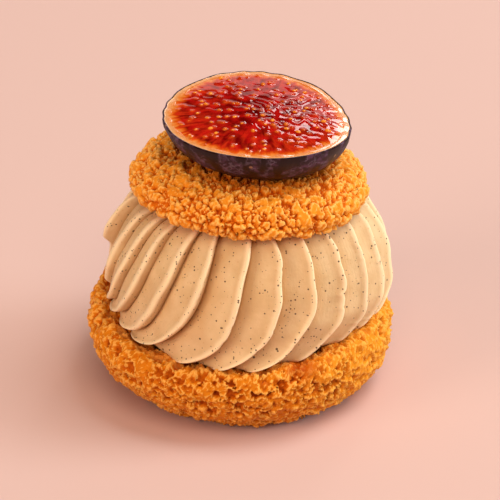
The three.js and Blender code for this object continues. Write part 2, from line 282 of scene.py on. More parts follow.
def crust_finish(name, painted_crevice_shade, dough, flake, edge):
    """Baked craquelin: golden flakes over orange dough between, with painted shade in the
    crevices and a painted highlight along the crumbs' edges. Returns the finish and its
    colour, to be set once a piece has added its own marks."""
    crust = Finish(name, Specular_IOR_Level=0.1)
    cover = crust.attribute("cover") + 0.3 * crust.grain(1 * mm, 3) - 0.15
    tone = cover.between(0.15, 0.75).blend(dough, flake)
    patches = crust.grain(6 * mm, 3).between(0.45, 0.75)
    tone = (patches * 0.4).blend(tone, dough)
    # painted shade: where the crust lies below its smoothed surface, in the crevices, it is drawn
    # darker
    tone = (1 - crust.attribute("crag").between(-0.55, -0.1)).blend(tone, painted_crevice_shade)
    # painted highlight: the crumbs' sharp edges are drawn in the pale edge colour, brighter where
    # the sugar grain is high
    sugar = crust.grain(0.5 * mm, 3).between(0.35, 0.75)
    brink = crust.attribute("brink").between(0.05, 0.18)
    tone = (brink * (0.45 + 0.45 * sugar)).blend(tone, edge)
    crust.set(Roughness=0.5 - 0.2 * sugar)
    crust.bump(crust.grain(0.4 * mm, 4), 0.2 * mm)
    return crust, tone


def inside_cup(place):
    """Whether a place lies on the torn inside of the wall, above the cup's floor."""
    return place.z > cup_floor + 1 * mm and math.hypot(place.x, place.y) < cup_radius + 0.8 * mm


def rim_rise(azimuth):
    """How much higher than rim_height the rim stands at an angle about the bun's axis."""
    return rim_mean_lift - rim_lift * math.cos(azimuth) - rim_warp * math.cos(2 * azimuth + 0.7)


def base_form(place):
    """Pulls the base's outline out of round, shifts its foot and draws it in at the front, lifts
    its rim unevenly and frays it, and leans the torn inside of the wall as the cream leans."""
    azimuth = azimuth_of(place)
    radius = math.hypot(place.x, place.y)
    drawn = 1 + 0.008 * math.sin(2 * azimuth + 0.6) + 0.006 * math.sin(5 * azimuth)
    if radius > foot_radius - 1 * mm + 0.6 * place.z:
        low = 1 - smoothstep(place.z, 0, foot_reach)
        foot_out = foot_shift * math.sin(azimuth) - foot_tuck * max(0, math.cos(azimuth))
        drawn += low * foot_out / radius
    lift = rim_rise(azimuth)
    frayed = noise.noise(place / fray_size) + 0.5 * noise.noise(place / (0.5 * fray_size))
    lift += rim_fray * frayed * smoothstep(place.z, rim_height - 3 * mm, rim_height)
    lift *= smoothstep(place.z, cup_floor, rim_height)
    lean = 0
    if inside_cup(place):
        lean = cup_lean * smoothstep(rim_height - place.z, 0.5 * mm, 2.8 * mm)
    return Vector((place.x * drawn + lean, place.y * drawn, place.z + lift))


base_wall = along([
    (foot_radius, 0),
    (foot_radius + 4.1 * mm, 3.2 * mm),
    (base_radius - 1.5 * mm, 8.4 * mm),
    (base_radius, 14.2 * mm),
    (base_radius - 0.8 * mm, rim_height - 1.4 * mm),
    (base_radius - 2.1 * mm, rim_height - 0.3 * mm),
    (cup_radius + 0.4 * mm, rim_height - 0.6 * mm),
    (cup_radius - 1.2 * mm, rim_height - 0.8 * mm),
    (cup_radius - 3.2 * mm, rim_height - 1.2 * mm),
], spacing=0.29 * mm)
base_cup = [(cup_radius - 4.5 * mm, cup_floor), (0, cup_floor)]


def base_crust(place):
    """On the base the crust is a rough sheet of small crumbs, with pits where it burst."""
    inside, luck, _ = crumb_at(place, pit_size, ragged=1, seed=3)
    pit = smoothstep(inside, 0.05, 0.24) * smoothstep(0.6 - luck, 0, 0.45)
    small_inside, small_luck, lean = crumb_at(place, crumb_size, ragged=0.8, seed=5)
    small = smoothstep(small_inside, 0.05, 0.24)
    pore = small * smoothstep(0.4 - small_luck, 0, 0.2)
    crumb = small * smoothstep(small_luck, 0.4, 1)
    grit = noise.fractal(place / grit_size, 0.6, 2.1, 3)
    lumps = noise.noise(place / lump_size)
    whole = 1 - 0.75 * pit
    rough = 0.22 * grit + 0.22 * lean + 0.42 * crumb - 0.42 * pore
    share = 0.5 - 0.95 * pit + whole * rough + 0.3 * lumps
    return base_crumb * share * smoothstep(place.z, 0, 1.5 * mm), 1 - max(pit, 0.7 * pore)


base_shape = spun([(0, 0), *base_wall, *base_cup], steps=760)
torn_layer = base_shape.verts.layers.float.new("torn")
for vertex in base_shape.verts:
    vertex[torn_layer] = inside_cup(vertex.co)
raise_crust(base_shape, base_crust)
for vertex in base_shape.verts:
    vertex.co = base_form(vertex.co)
    vertex.co.z = max(0, vertex.co.z)
base = linked("choux_base_crust", base_shape)
mark_crags(base, crag=16, brink=3)
base.data.shade_smooth()

torn_deep = (0.6, 0.12, 0.004, 1)
torn_pale = (0.92, 0.44, 0.1, 1)
caramel_place = (14.9 * mm, -30.5 * mm, 18.5 * mm)  # sugar that ran over the rim and burnt
caramel_colour = (0.48, 0.075, 0.003, 1)
# painted light: the colour the crust on the base's right is drawn towards, for light from the right
painted_right_light = (0.95, 0.42, 0.035, 1)  # the crust on its right
# the darkest of these colours is painted shade for the crevices, the palest a painted highlight for
# the edges
baked, baked_tone = crust_finish(
    "base_crust",
    painted_crevice_shade=(0.29, 0.042, 0.001, 1), dough=(0.56, 0.11, 0.002, 1),
    flake=(0.7, 0.2, 0.007, 1), edge=(0.96, 0.48, 0.1, 1),
)
torn_tone = baked.grain(3.5 * mm, 3).between(0.4, 0.6).blend(torn_deep, torn_pale)
baked_tone = (baked.attribute("torn") * 0.5).blend(baked_tone, torn_tone)
caramel_away = baked.start.node(
    "ShaderNodeVectorMath", {"operation": "DISTANCE"}, {0: baked.place, 1: caramel_place}, "Value"
)
caramel = 1 - (caramel_away + 6 * mm * baked.grain(2.5 * mm, 3)).between(4 * mm, 9 * mm)
baked_tone = (caramel * 0.75).blend(baked_tone, caramel_colour)
# painted light: the base's crust is drawn paler towards its right, where light falls from the right
right_light_mask = baked.axis(0).between(12 * mm, 30 * mm)
baked_tone = (right_light_mask * 0.28).blend(baked_tone, painted_right_light)
baked.set(Base_Color=baked_tone)
base.data.materials.append(baked.material)
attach(base, "root")
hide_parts("choux_base")

# The cream is one ring of tongues, piped from the cup of the base up to the lid by a star
# nozzle. Each tongue lies over the next one on its right, and ends in a round lip there;
# its tip sweeps to the left along the rim. Ground vanilla flecks it.
cream_centre = Vector((2 * mm, 0, 0))
cream_radius = 32.2 * mm
neck_radius = 28.2 * mm
cream_foot = cup_floor + 0.4 * mm
cream_rim = 18.9 * mm  # as low as the tongues hang over the base
lid_bottom = 48.3 * mm
lid_roll = math.radians(2.8)
lid_pitch = math.radians(-1)
lid_centre = Vector((2.5 * mm, 0, lid_bottom))
lip_lean = 8  # degrees that a lip leans to the left, from the lid down to the rim
lip_sweep = 14  # degrees more that it sweeps to the left towards its tip
lip_hook = 16  # and degrees that the tip itself hooks along the rim
lip_depth = 3.6 * mm  # from a furrow out to a lip
least_depth = 4 * mm  # so deep are the furrows even by a low lip
wave_length = 6 * mm  # the lips wave a little from side to side on their way down
nick_length = 1.4 * mm  # and have small nicks on the right side of the bun
left_tuck = 1.2 * mm  # how far the swirl draws in towards its foot, on the left
right_tuck = 2.8 * mm  # and at the front right
# The lips in front, from left to right: degrees from the front where each leaves the lid,
# degrees that it bulges to the right half way down, its share of the depth, and its share of
# the sweep to the left near its tip
front_lips = (
    (-87, -1, 1.4, 1), (-68, -2, 0.85, 1), (-55, -2, 1, 1.2), (-44, -1, 1, 1.25),
    (-29, -2, 1, 1.15), (-17, 1.5, 1, 1.2), (2, -1.5, 0.9, 0.85), (15, 3, 0.85, 0.7),
    (30, 3, 0.85, 0.7), (45, 3, 0.85, 0.5), (63, -1.5, 0.8, 0.3), (77, -1, 0.8, 0.3),
)
short_tips = {0: 0.5, 1: 0.78}  # lips that end above the rim: from the lid (0) to the rim (1)
runs_on = 2  # the tips of the others lie past the rim
back_lips = 12
# A tongue's section from its furrow to its lip, in shares of its width and depth: as a
# shingle, which rises to its lip, and as a bulky tongue, which stands out all over
shingle = through([
    (0, 0), (0.03, 0.13), (0.09, 0.24), (0.2, 0.32), (0.4, 0.43), (0.6, 0.55), (0.76, 0.68),
    (0.86, 0.84), (0.93, 0.97), (0.97, 1), (1.01, 0.92), (1.03, 0.7), (1.03, 0.4), (1, 0),
], steps=2)
bulky = through([
    (0, 0.25), (0.03, 0.36), (0.08, 0.47), (0.17, 0.57), (0.33, 0.66), (0.5, 0.72), (0.63, 0.8),
    (0.74, 0.91), (0.84, 0.99), (0.92, 1), (0.98, 0.9), (1.01, 0.7), (1.015, 0.45), (1, 0.25),
], steps=2)
lip_middle = 0.3  # the share of the depth that lies on the swirl's mean side
cream_side = through([
    (cream_radius - 4.4 * mm, cream_rim + 0.1 * mm),
    (cream_radius - 2.4 * mm, cream_rim),
    (cream_radius - 0.9 * mm, cream_rim + 0.9 * mm),
    (cream_radius - 0.2 * mm, cream_rim + 2.8 * mm),
    (cream_radius, cream_rim + 5.2 * mm),
    (cream_radius, cream_rim + 9.7 * mm),
    (cream_radius - 1.1 * mm, cream_rim + 16.3 * mm),
    (cream_radius - 3.6 * mm, cream_rim + 22.5 * mm),
    (cream_radius - 7.4 * mm, cream_rim + 27.7 * mm),
    (cream_radius - 13 * mm, cream_rim + 30.1 * mm),
], steps=11)
cream_neck = [
    (0, cream_foot),
    (neck_radius - 4.5 * mm, cream_foot),
    (neck_radius - 0.6 * mm, cream_rim - 2.6 * mm),
]
cream_profile = [*cream_neck, *cream_side, (0, cream_rim + 30.5 * mm)]
lips = [
    (math.radians(top), math.radians(bulge), depth, sweep, short_tips.get(i, runs_on))
    for i, (top, bulge, depth, sweep) in enumerate(front_lips)
]
lips_rng = random.Random(8)
last_front = lips[-1][0]
back_step = (2 * math.pi - (last_front - lips[0][0])) / (back_lips + 1)
for i in range(back_lips):
    top = last_front + back_step * (i + 1 + lips_rng.uniform(-0.2, 0.2))
    bulge = math.radians(lips_rng.uniform(-2, 3))
    sweep = 1 - 0.7 * smoothstep(math.sin(top), -0.5, 0.5)
    lips.append((top, bulge, lips_rng.uniform(0.9, 1.1), sweep, runs_on))
lips.append((lips[0][0] + 2 * math.pi, *lips[0][1:]))
tongues = list(zip(lips, lips[1:]))


def under_lid(x, y):
    """Height of the lid's tilted cut face above a place on the floor."""
    return lid_bottom - math.tan(lid_roll) * (x - lid_centre.x) + math.tan(lid_pitch) * y


def lip_azimuth(lip, down):
    """Where a lip lies, from the lid (0) down to its tip (1), which hooks along the rim."""
    top, bulge, _, sweep, _ = lip
    lean = lip_lean * down + sweep * (lip_sweep * down ** 3 + lip_hook * down ** 9)
    return top + bulge * math.sin(math.pi * down) - math.radians(lean)


def lip_share(lip, down):
    """A lip's share of the depth. Most of it is gone below the tip of a short tongue."""
    _, _, depth, _, tip = lip
    return depth * (1 - 0.6 * smoothstep(down, tip - 0.06, tip + 0.04))


def tongue_section(tongue, step):
    """A tongue's section at a step across it: bulky on the left side of the bun, and a
    shingle on its right."""
    bulk = smoothstep(-math.sin(tongues[tongue][1][0]), 0, 0.75)
    return [a + bulk * (b - a) for a, b in zip(shingle[step], bulky[step])]


def cream_place(column, row):
    """Where a point of the swirl lies, by its column round the swirl and its row up it."""
    tongue, step = divmod(column % cream_columns, len(shingle) - 1)
    left, right = tongues[tongue]
    across, rise = tongue_section(tongue, step)
    radius, height = cream_profile[row]
    up = (row - len(cream_neck) + 1) / len(cream_side)
    down = min(1, max(0, (lid_bottom - height) / (lid_bottom - cream_rim)))
    furrow = lip_azimuth(left, down)
    azimuth = furrow + across * (lip_azimuth(right, down) - furrow)
    if 0 < up <= 1:
        wave = noise.noise(Vector((tongue * 3.7, height / wave_length, 0)))
        nick = max(0, noise.noise(Vector((tongue * 5.1, height / nick_length, 5))) - 0.2)
        azimuth += rise * (0.03 * wave - 0.04 * nick * max(0, math.cos(azimuth - 1)))
        swell = 0.75 + 0.25 * smoothstep(up, 0, 0.3)
        lip_out = lip_depth * lip_share(right, down) * swell * (1 + 0.15 * wave)
        radius += (1 - lip_middle) * lip_out - max(lip_out, least_depth * swell) * (1 - rise)
        place = Vector((radius * math.sin(azimuth), -radius * math.cos(azimuth), height))
        uneven = 0.3 * mm * noise.noise(place / (8 * mm))
        uneven += 0.04 * mm * noise.noise(place / (1.5 * mm))
        radius += uneven
    low = 1 - smoothstep(height, cream_rim, cream_rim + 10 * mm)
    to_right = math.sin(azimuth)
    front_right = 2 * max(0, to_right) * max(0, math.cos(azimuth))
    if row > 0:
        radius -= low * (right_tuck * front_right + left_tuck * max(0, -to_right))
    if height > cream_foot:
        height += rim_rise(azimuth) * low
    place = cream_centre + Vector((radius * math.sin(azimuth), -radius * math.cos(azimuth), height))
    place.z = min(place.z, under_lid(place.x, place.y) - 0.3 * mm)
    return place


cream_columns = len(tongues) * (len(shingle) - 1)
cream_rows = len(cream_profile) - 1
cream_shape = bmesh.new()
bmesh.ops.create_grid(cream_shape, x_segments=cream_columns, y_segments=cream_rows, size=0.5)
rise_layer = cream_shape.verts.layers.float.new("rise")
turn_layer = cream_shape.verts.layers.float.new("turn")
for vertex in cream_shape.verts:
    column = round((vertex.co.x + 0.5) * cream_columns)
    row = round((vertex.co.y + 0.5) * cream_rows)
    tongue, step = divmod(column % cream_columns, len(shingle) - 1)
    across, vertex[rise_layer] = tongue_section(tongue, step)
    vertex[turn_layer] = tongue + across
    vertex.co = cream_place(column, row)
bmesh.ops.remove_doubles(cream_shape, verts=cream_shape.verts, dist=0.002 * mm)
bmesh.ops.recalc_face_normals(cream_shape, faces=cream_shape.faces)
cream = linked("cream_tongues", cream_shape)
cream.data.shade_smooth()

cream_dull = (0.645, 0.41, 0.2, 1)
cream_fresh = (0.735, 0.5, 0.265, 1)
# painted shade for the furrows
painted_furrow_shade = (0.52, 0.24, 0.065, 1)
# painted highlight for the lips
painted_lip_highlight = (0.95, 0.73, 0.45, 1)
tan_fleck = (0.5, 0.22, 0.05, 1)
dark_fleck = (0.05, 0.02, 0.01, 1)
# The dark flecks: how far apart they lie, and their least and most reach as shares of that
dark_flecks = ((1 * mm, 0.1, 0.25), (1.75 * mm, -0.03, 0.19))
vanilla_cream = Finish(
    "vanilla_cream", Roughness=0.48, Specular_IOR_Level=0.4, Subsurface_Weight=0.1,
    Subsurface_Radius=(0.9 * mm, 0.45 * mm, 0.2 * mm), Subsurface_Scale=1,
)
smears = vanilla_cream.grain(5 * mm, 4).between(0.3, 0.75)
cream_tone = smears.blend(cream_dull, cream_fresh)
rise = vanilla_cream.attribute("rise")
# painted shade: each tongue is drawn darker on its low side, by the furrow
cream_tone = ((1 - rise.between(0, 0.58)) * 0.8).blend(cream_tone, painted_furrow_shade)
# painted highlight: each tongue is drawn paler along its lip
cream_tone = (rise.between(0.76, 1) * 0.8).blend(cream_tone, painted_lip_highlight)
tan_flecks = 1 - vanilla_cream.cells(1.7 * mm).between(0.06, 0.14)
cream_tone = (tan_flecks * 0.4).blend(cream_tone, tan_fleck)
for fleck_cell, least, most in dark_flecks:
    chance = vanilla_cream.cells(fleck_cell, "Color").channel(0)
    reach = least + (most - least) * chance * chance
    flecks = (reach - vanilla_cream.cells(fleck_cell)).between(0, 0.035)
    cream_tone = (flecks * 0.88).blend(cream_tone, dark_fleck)
vanilla_cream.set(Base_Color=cream_tone)
marks_across = 16  # the nozzle's fine marks on each tongue
marks_down = 160  # and how often they change in a metre on the way down
on_tongue = vanilla_cream.start.node(
    "ShaderNodeCombineXYZ", None,
    {0: marks_across * vanilla_cream.attribute("turn"), 1: marks_down * vanilla_cream.axis(2)},
)
nozzle_marks = vanilla_cream.grain(1, 3, on_tongue)
vanilla_cream.bump(0.45 * nozzle_marks + 0.7 * vanilla_cream.grain(0.9 * mm, 3), 0.12 * mm)
cream.data.materials.append(vanilla_cream.material)
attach(cream, "root")
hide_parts("cream_swirl")

# The lid is the cut-off top of the bun: a low dome of choux under the same craquelin, in
# coarser crumbs, drawn with painted shade and red bounce light round the fig. It rests on
# the cream, a little lower on its right.
lid_radius = 26.8 * mm
lid_rise = 10.6 * mm
lid_cut = 0.2 * mm  # so high above lid_centre the cut face lies
lid_top = lid_rise - 0.5 * mm
fig_shift = Vector((0.7 * mm, -1.85 * mm, lid_rise))
fig_foot = 13.6 * mm  # radius of the side that the half fig lies on
fig_foot_shift = 1.2 * mm  # which is a little to the right of its cut
fig_shade_near = fig_foot + 1 * mm  # painted shade covers all crumbs up to here
fig_shade_far = fig_foot + 7 * mm  # and none past here
# The crumbs of its crust: their size, how ragged they are, a seed, how tall they stand, and
# the share of them that is missing
lid_crumbs = (
    (2.9 * mm, 1, 11, 1.05, 0.5), (1.9 * mm, 0.8, 17, 0.9, 0.1), (1.1 * mm, 0.8, 23, 0.4, 0.3),
)
lid_place = (
    Matrix.Translation(lid_centre)
    @ Matrix.Rotation(lid_pitch, 4, "X")
    @ Matrix.Rotation(lid_roll, 4, "Y")
)
lid_dome = along([
    (lid_radius - 3.6 * mm, lid_cut),
    (lid_radius - 1.2 * mm, 1 * mm),
    (lid_radius, 2.9 * mm),
    (lid_radius - 1.2 * mm, 5.8 * mm),
    (lid_radius - 6 * mm, 8.4 * mm),
    (lid_radius - 12.6 * mm, lid_rise - 0.8 * mm),
    (lid_radius - 18 * mm, lid_top),
], spacing=0.235 * mm)


def from_fig(place):
    """How far a place on the lid lies from the middle of the fig's underside."""
    return (place.xy - fig_shift.xy - Vector((fig_foot_shift, 0))).length


def lid_crust(place):
    """On the lid the crust has broken into crumbs of three sizes, piled on each other up to the
    skin of the fig."""
    share = 0
    for size, ragged, seed, tall, missing in lid_crumbs:
        inside, luck, lean = crumb_at(place, size, ragged, seed)
        crumb = smoothstep(inside, 0.05, 0.2) * smoothstep(luck, missing, missing + 0.08)
        share = max(share, crumb * tall * (0.3 + 0.5 * luck + 0.5 * lean + 0.3 * min(1, inside)))
    grit = noise.fractal(place / grit_size, 0.6, 2.1, 3)
    height = base_crumb * (1.33 * share + 0.18 * grit - 0.3)
    if place.z > lid_rise / 2:
        skin = lid_rise + 0.5 * max(0, from_fig(place) - fig_foot)
        height = min(height, skin - place.z)
    return height * smoothstep(place.z, lid_cut, 0.9 * mm), smoothstep(share, 0.05, 0.7)


lid_shape = spun([(0, lid_cut), *lid_dome, (0, lid_top)], steps=710)
raise_crust(lid_shape, lid_crust)
# painted shade and red bounce light under the fig: crumbs near it are drawn red-brown
fig_shade_layer = lid_shape.verts.layers.float.new("fig_shade")
for vertex in lid_shape.verts:
    vertex[fig_shade_layer] = 1 - smoothstep(from_fig(vertex.co), fig_shade_near, fig_shade_far)
    azimuth = azimuth_of(vertex.co)
    uneven = 1 + 0.01 * math.sin(2 * azimuth - 1.2) + 0.01 * math.sin(3 * azimuth)
    vertex.co = Vector((vertex.co.x * uneven, vertex.co.y * uneven, max(0, vertex.co.z)))
bmesh.ops.transform(lid_shape, matrix=lid_place, verts=lid_shape.verts)
lid = linked("choux_lid_crust", lid_shape)
mark_crags(lid, crag=16, brink=3)
lid.data.shade_smooth()

# painted shade round the fig
painted_fig_shade = (0.5, 0.06, 0.001, 1)
# the darkest of these colours is painted shade for the crevices, the palest a painted highlight for
# the edges
golden, golden_tone = crust_finish(
    "lid_crust",
    painted_crevice_shade=(0.42, 0.055, 0.001, 1), dough=(0.7, 0.15, 0.004, 1),
    flake=(0.84, 0.28, 0.018, 1), edge=(1, 0.56, 0.15, 1),
)
# painted shade and red bounce light on the crumbs round the fig
golden_tone = (golden.attribute("fig_shade") * 0.6).blend(golden_tone, painted_fig_shade)
golden.set(Base_Color=golden_tone)
lid.data.materials.append(golden.material)
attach(lid, "root")
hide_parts("choux_lid")

# The fig's flesh is a shallow bowl of pale fruit in its dark skin, cut across with a knife.
# It lies on the lid, and its cut isn't quite level with the side it lies on.
fig_radius = 21.9 * mm
fig_thickness = 10 * mm
fig_slope = math.tan(math.radians(2.6))
fig_droop = 1 * mm  # how far the cut droops on its right
fig_bend = 14 * mm  # where the droop begins
fig_bend_reach = 8 * mm  # and how far on it is whole
flesh_width = 2.1 * mm
pulp_depth = 5.4 * mm
rib_height = 0.1 * mm  # faint ribs run down the skin
rib_count = 19
fig_place = lid_place @ Matrix.Translation(fig_shift)


def fig_form(place):
    """Gives the round fig three blunt corners, tilts its cut and lets it droop at the right."""
    azimuth = azimuth_of(place)
    oval = 0.012 * math.cos(2 * azimuth) + 0.005 * math.sin(2 * azimuth)
    drawn = 1.006 + oval - 0.03 * math.cos(3 * azimuth)
    place = Vector((place.x * drawn, place.y * drawn, place.z))
    droop = fig_droop * max(0, (place.x - fig_bend) / fig_bend_reach) ** 2
    place.z *= 1 + (fig_slope * place.y - droop) / fig_thickness
    return place


fig_skin = through([
    (fig_foot, 0), (fig_radius - 4.4 * mm, 2.4 * mm), (fig_radius - 1.9 * mm, 5.1 * mm),
    (fig_radius - 0.4 * mm, 8 * mm), (fig_radius, fig_thickness - 0.1 * mm),
], steps=7)
fig_cut = through([
    (fig_radius - 0.06 * mm, fig_thickness + 0.08 * mm),
    (fig_radius - 0.2 * mm, fig_thickness + 0.15 * mm),
    (fig_radius - 0.42 * mm, fig_thickness + 0.1 * mm),
    (fig_radius - 0.6 * mm, fig_thickness),
    (fig_radius - 1.1 * mm, fig_thickness + 0.03 * mm),
    (fig_radius - 1.7 * mm, fig_thickness + 0.03 * mm),
    (fig_radius - flesh_width - 0.4 * mm, fig_thickness - 0.04 * mm),
], steps=4)
pulp_radius = fig_radius - flesh_width
pulp_floor = fig_thickness - pulp_depth + 0.4 * mm
fig_hollow = [
    (pulp_radius - 1.8 * mm, fig_thickness - 2.6 * mm),
    (pulp_radius - 5 * mm, fig_thickness - pulp_depth),
    (0, fig_thickness - pulp_depth),
]
flesh_shape = spun([(0, 0), *fig_skin, *fig_cut, *fig_hollow], steps=200)


def past_flesh(place):
    """How far a place of the cut lies inside the pale ring of flesh, in millimetres. The ring
    is a little wider on the left than elsewhere."""
    azimuth = azimuth_of(place)
    width = 1.75 - 0.1 * math.sin(azimuth) - 0.1 * math.cos(2 * azimuth)
    return (fig_radius - math.hypot(place.x, place.y)) / mm - width


past_layer = flesh_shape.verts.layers.float.new("past_flesh")
edge_layer = flesh_shape.verts.layers.float.new("from_edge")
cut_layer = flesh_shape.verts.layers.float.new("cut")
for vertex in flesh_shape.verts:
    radius = math.hypot(vertex.co.x, vertex.co.y)
    in_hollow = radius < pulp_radius - 1.5 * mm and vertex.co.z > pulp_floor - 1 * mm
    vertex[cut_layer] = vertex.co.z > fig_thickness - 0.05 * mm or in_hollow
    vertex[past_layer] = past_flesh(vertex.co)
    vertex[edge_layer] = (fig_radius - radius) / mm
    azimuth = azimuth_of(vertex.co)
    ribs = rib_height * math.sin(rib_count * azimuth + 3 * math.sin(4 * azimuth))
    vertex.co *= 1 + ribs * smoothstep(radius, 0.6 * fig_radius, 0.9 * fig_radius) / fig_radius
    if radius > fig_foot - 1 * mm + 0.6 * vertex.co.z:
        foot_low = 1 - smoothstep(vertex.co.z, 0, fig_thickness)
        vertex.co.xy *= 1 + fig_foot_shift * foot_low * math.sin(azimuth) / radius
    vertex.co = fig_form(vertex.co)
bmesh.ops.transform(flesh_shape, matrix=fig_place, verts=flesh_shape.verts)
flesh = linked("fig_flesh_and_skin", flesh_shape)
flesh.data.shade_smooth()

skin_bare = (0.013, 0.002, 0.002, 1)
skin_dusty = (0.082, 0.031, 0.064, 1)
wisp_colour = (0.17, 0.115, 0.16, 1)
scar_colour = (0.3, 0.15, 0.08, 1)
ring_pale = (0.73, 0.34, 0.13, 1)
ring_warm = (0.69, 0.2, 0.035, 1)
ring_orange = (0.64, 0.08, 0.004, 1)
hollow_red = (0.4, 0.02, 0.005, 1)
fig_finish = Finish(
    "fig_skin_and_flesh", Specular_IOR_Level=0.26, Coat_Roughness=0.06, Coat_IOR=1.4,
)
streaks = fig_finish.start.node(
    "ShaderNodeMapping", None, {"Vector": fig_finish.place, "Scale": (1, 1, 0.22)}
)
bloom = fig_finish.grain(3.2 * mm, 4, streaks).between(0.44, 0.62)
cloud = fig_finish.grain(1.4 * mm, 5).between(0.42, 0.62)
skin_tone = (bloom * (0.2 + 0.8 * cloud)).blend(skin_bare, skin_dusty)
wisps = 1 - abs(fig_finish.grain(2.6 * mm, 4) - 0.5).between(0, 0.05)
skin_tone = (wisps * bloom * 0.5).blend(skin_tone, wisp_colour)
scars = 1 - fig_finish.cells(6 * mm).between(0.05, 0.09)
skin_tone = (scars * 0.8).blend(skin_tone, scar_colour)


def ring_tone(finish, tone, ragged):
    """The pale ring of flesh round the pulp: it turns orange, and then takes the pulp's tone."""
    past = finish.attribute("past_flesh") + 1.2 * ragged - 0.6 + 0.8 * finish.grain(4 * mm) - 0.4
    ring = past.between(-1.4, 0).blend(ring_pale, ring_warm)
    ring = past.between(-0.3, 1.1).blend(ring, ring_orange)
    return past.between(0.5, 2).blend(ring, tone)


flesh_tone = ring_tone(fig_finish, hollow_red, fig_finish.grain(1.2 * mm, 3))
cut = fig_finish.attribute("cut").between(0.3, 0.7)
peel = 0.3 * fig_finish.grain(1.2 * mm, 3) + 0.3  # how wide the edge of the skin shows
inner = (fig_finish.attribute("from_edge") - peel).between(-0.06, 0.06) * cut
fig_finish.set(
    Base_Color=inner.blend(skin_tone, flesh_tone),
    Roughness=0.42 - 0.26 * inner + 0.14 * bloom,
    Coat_Weight=0.9 * inner,
)
fig_finish.bump(fig_finish.grain(1.3 * mm, 3), 0.08 * mm)
flesh.data.materials.append(fig_finish.material)
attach(flesh, "root")
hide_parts("fig_flesh")

# The pulp is the wet, jammy heart of the fig: red threads that run out to the flesh, under
# a clear glaze that climbs up each seed.
pulp_edge = pulp_radius + 1 * mm
seed_count = 165
seed_length = 1.15 * mm
golden_angle = math.pi * (3 - math.sqrt(5))
seed_rng = random.Random(23)
pulp_dome = 0.9 * mm  # how much higher the glaze stands in the middle than at its edge
climb_reach = 0.62 * mm  # how far round a seed the glaze climbs
thick_right = 9 * mm  # the glaze is thickest to the right of the middle
thick_back = 3 * mm  # and a little behind it
thick_spread = 10 * mm
pulp_rings = 76
pulp_segments = 420
# The sides of the pulp, sunk in the flesh: how far in from its edge, and how high
pulp_sides = ((1.4 * mm, fig_thickness - 2.6 * mm), (5 * mm, pulp_floor))
threads_round = 13  # how fine the threads are round the pulp
threads_out = 4  # and from its middle out


def crown(radius):
    """Height of the glaze's smooth top at a distance from the middle."""
    return fig_thickness + pulp_dome * (1 - (radius / pulp_edge) ** 2) - 0.05 * mm


seeds = []  # the place, turn, size, lift and ripeness of each
for i in range(seed_count):
    radius = 0.95 * pulp_edge * math.sqrt((i + 0.6) / seed_count)
    azimuth = i * golden_angle + seed_rng.uniform(-1, 1) * 3 * mm / max(radius, 2.4 * mm)
    radius += seed_rng.uniform(-1, 0.8) * mm
    seeds.append((
        Vector((radius * math.sin(azimuth), -radius * math.cos(azimuth), crown(radius))),
        azimuth + seed_rng.uniform(-0.9, 0.9),
        seed_rng.uniform(0.6, 1.3),
        seed_rng.uniform(-0.3, 0.1),
        seed_rng.random(),
    ))
seed_places = np.array([seed[0].xy for seed in seeds])


def climb(x, y):
    """How far the glaze has climbed up the seeds near a place: 1 on top of a seed."""
    away = ((seed_places - (x, y)) ** 2).sum(axis=1) / climb_reach ** 2
    return min(1, np.exp(-away).sum())


def pulp_height(x, y):
    """Height of the glaze over the pulp: soft folds, winding wrinkles where it is thickest,
    on the right, and a small rise over each seed."""
    spot = Vector((x, y, 0))
    out = math.hypot(x, y)
    thick = math.exp(-((x - thick_right) ** 2 + (y - thick_back) ** 2) / thick_spread ** 2)
    pushed = spot + 1.6 * mm * noise.noise_vector(spot / (4 * mm))
    folds = noise.noise(pushed / (2.6 * mm))
    bent = spot + 0.8 * mm * noise.noise_vector(spot / (2 * mm))
    winding = math.sin(10 * noise.noise(bent / (3.4 * mm)))
    calm = smoothstep(pulp_edge - out, 0, 2 * mm)
    relief = 0.12 * climb(x, y) + 0.045 * folds + (0.006 + 0.055 * thick) * winding
    return crown(out) + mm * calm * relief


pulp_shape = bmesh.new()
bmesh.ops.create_grid(pulp_shape, x_segments=pulp_segments, y_segments=pulp_rings, size=0.5)
for vertex in pulp_shape.verts:
    azimuth = 2 * math.pi * (vertex.co.x + 0.5)
    radius = pulp_edge * (vertex.co.y + 0.5)
    x = radius * math.sin(azimuth)
    y = -radius * math.cos(azimuth)
    vertex.co = Vector((x, y, pulp_height(x, y)))
bmesh.ops.remove_doubles(pulp_shape, verts=pulp_shape.verts, dist=0.002 * mm)
rim_edges = [edge for edge in pulp_shape.edges if edge.is_boundary]
for inset, height in pulp_sides:
    made = bmesh.ops.extrude_edge_only(pulp_shape, edges=rim_edges)["geom"]
    for vertex in (item for item in made if isinstance(item, bmesh.types.BMVert)):
        flat = Vector((vertex.co.x, vertex.co.y, 0)).normalized() * (pulp_edge - inset)
        vertex.co = Vector((flat.x, flat.y, height))
    rim_edges = [item for item in made if isinstance(item, bmesh.types.BMEdge)]
bmesh.ops.holes_fill(pulp_shape, edges=rim_edges)
bmesh.ops.recalc_face_normals(pulp_shape, faces=pulp_shape.faces)
pulp_across = pulp_shape.verts.layers.float.new("across")
pulp_past = pulp_shape.verts.layers.float.new("past_flesh")
pulp_glow = pulp_shape.verts.layers.float.new("glow")
pulp_ray = pulp_shape.verts.layers.float_vector.new("ray")
for vertex in pulp_shape.verts:
    across = math.hypot(vertex.co.x, vertex.co.y) / pulp_edge
    vertex[pulp_across] = across
    vertex[pulp_past] = past_flesh(vertex.co)
    # how much painted glow each place takes from the seeds near it
    vertex[pulp_glow] = climb(vertex.co.x, vertex.co.y) ** 1.5
    vertex[pulp_ray] = Vector((*(threads_round * vertex.co.xy.normalized()), threads_out * across))
    vertex.co = fig_form(vertex.co)
